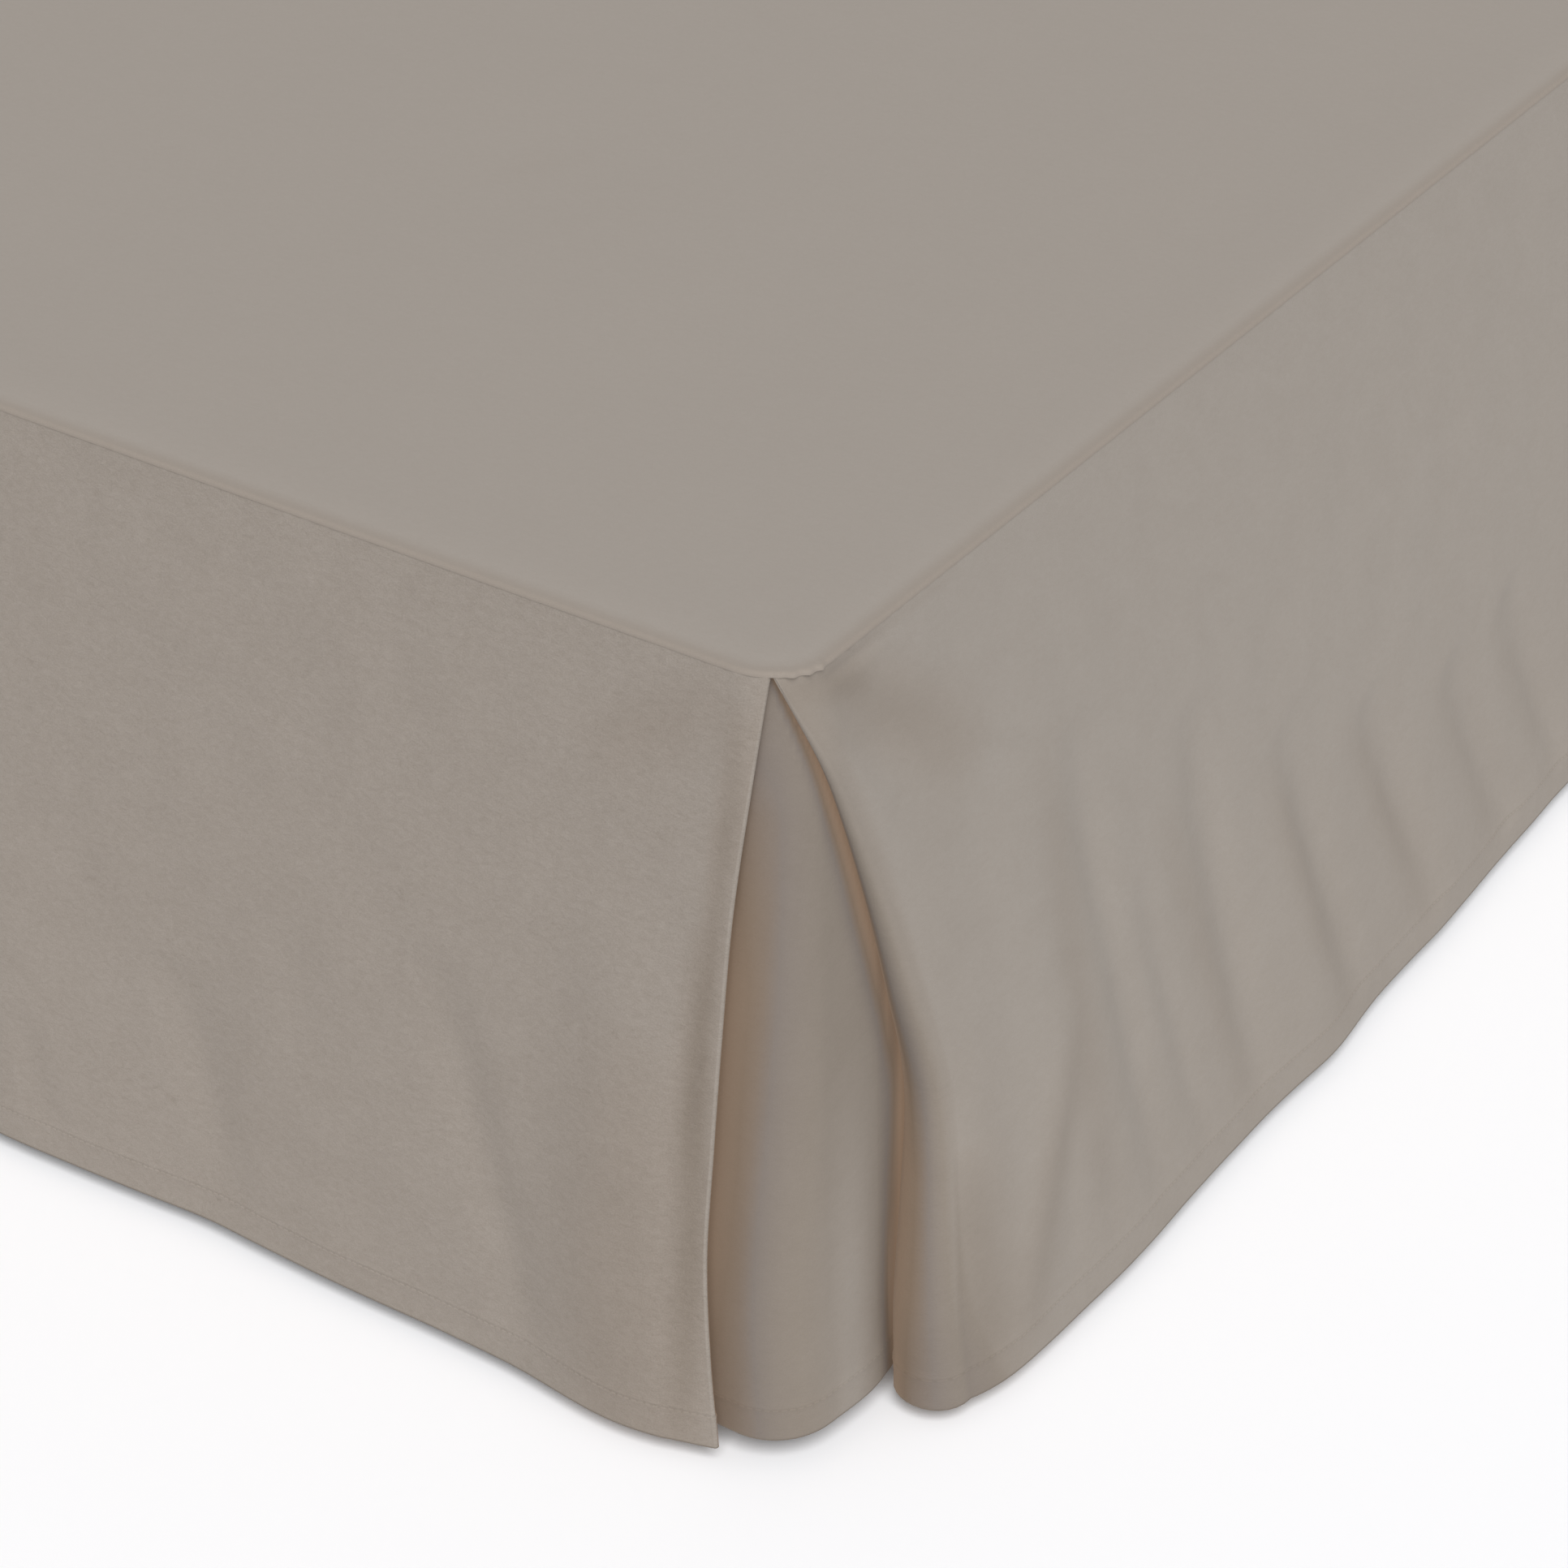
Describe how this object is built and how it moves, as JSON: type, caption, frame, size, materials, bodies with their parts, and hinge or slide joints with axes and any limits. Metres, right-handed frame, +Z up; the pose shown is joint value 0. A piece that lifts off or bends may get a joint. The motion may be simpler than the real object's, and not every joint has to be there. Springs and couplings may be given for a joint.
{
  "type": "bed skirt on a bed base",
  "caption": "Plain cloth bed skirt with a flat deck, hanging drop panels and inverted pleats at the foot corners, fitted over a plain upholstered bed base on legs.",
  "frame": {"origin": "middle of the bounding box on the floor, under the bed", "axes": "+Z up, +Y along the bed towards the head end, +X across the bed to the right seen from the foot"},
  "size_m": [1.5113, 1.9313, 0.36],
  "materials": {
    "skirt_cloth": "matt brushed microfibre in taupe",
    "base_cover": "plain woven cover",
    "leg_wood": "satin lacquered beech"
  },
  "bodies": {
    "root": {"deck_panel": "skirt_cloth", "foot_panel": "skirt_cloth", "side_panel_right": "skirt_cloth", "side_panel_left": "skirt_cloth", "bed_base": "base_cover", "leg_right_head": "leg_wood", "leg_right_middle": "leg_wood", "leg_right_foot": "leg_wood", "leg_left_head": "leg_wood", "leg_left_middle": "leg_wood", "leg_left_foot": "leg_wood"}
  },
  "joints": []
}
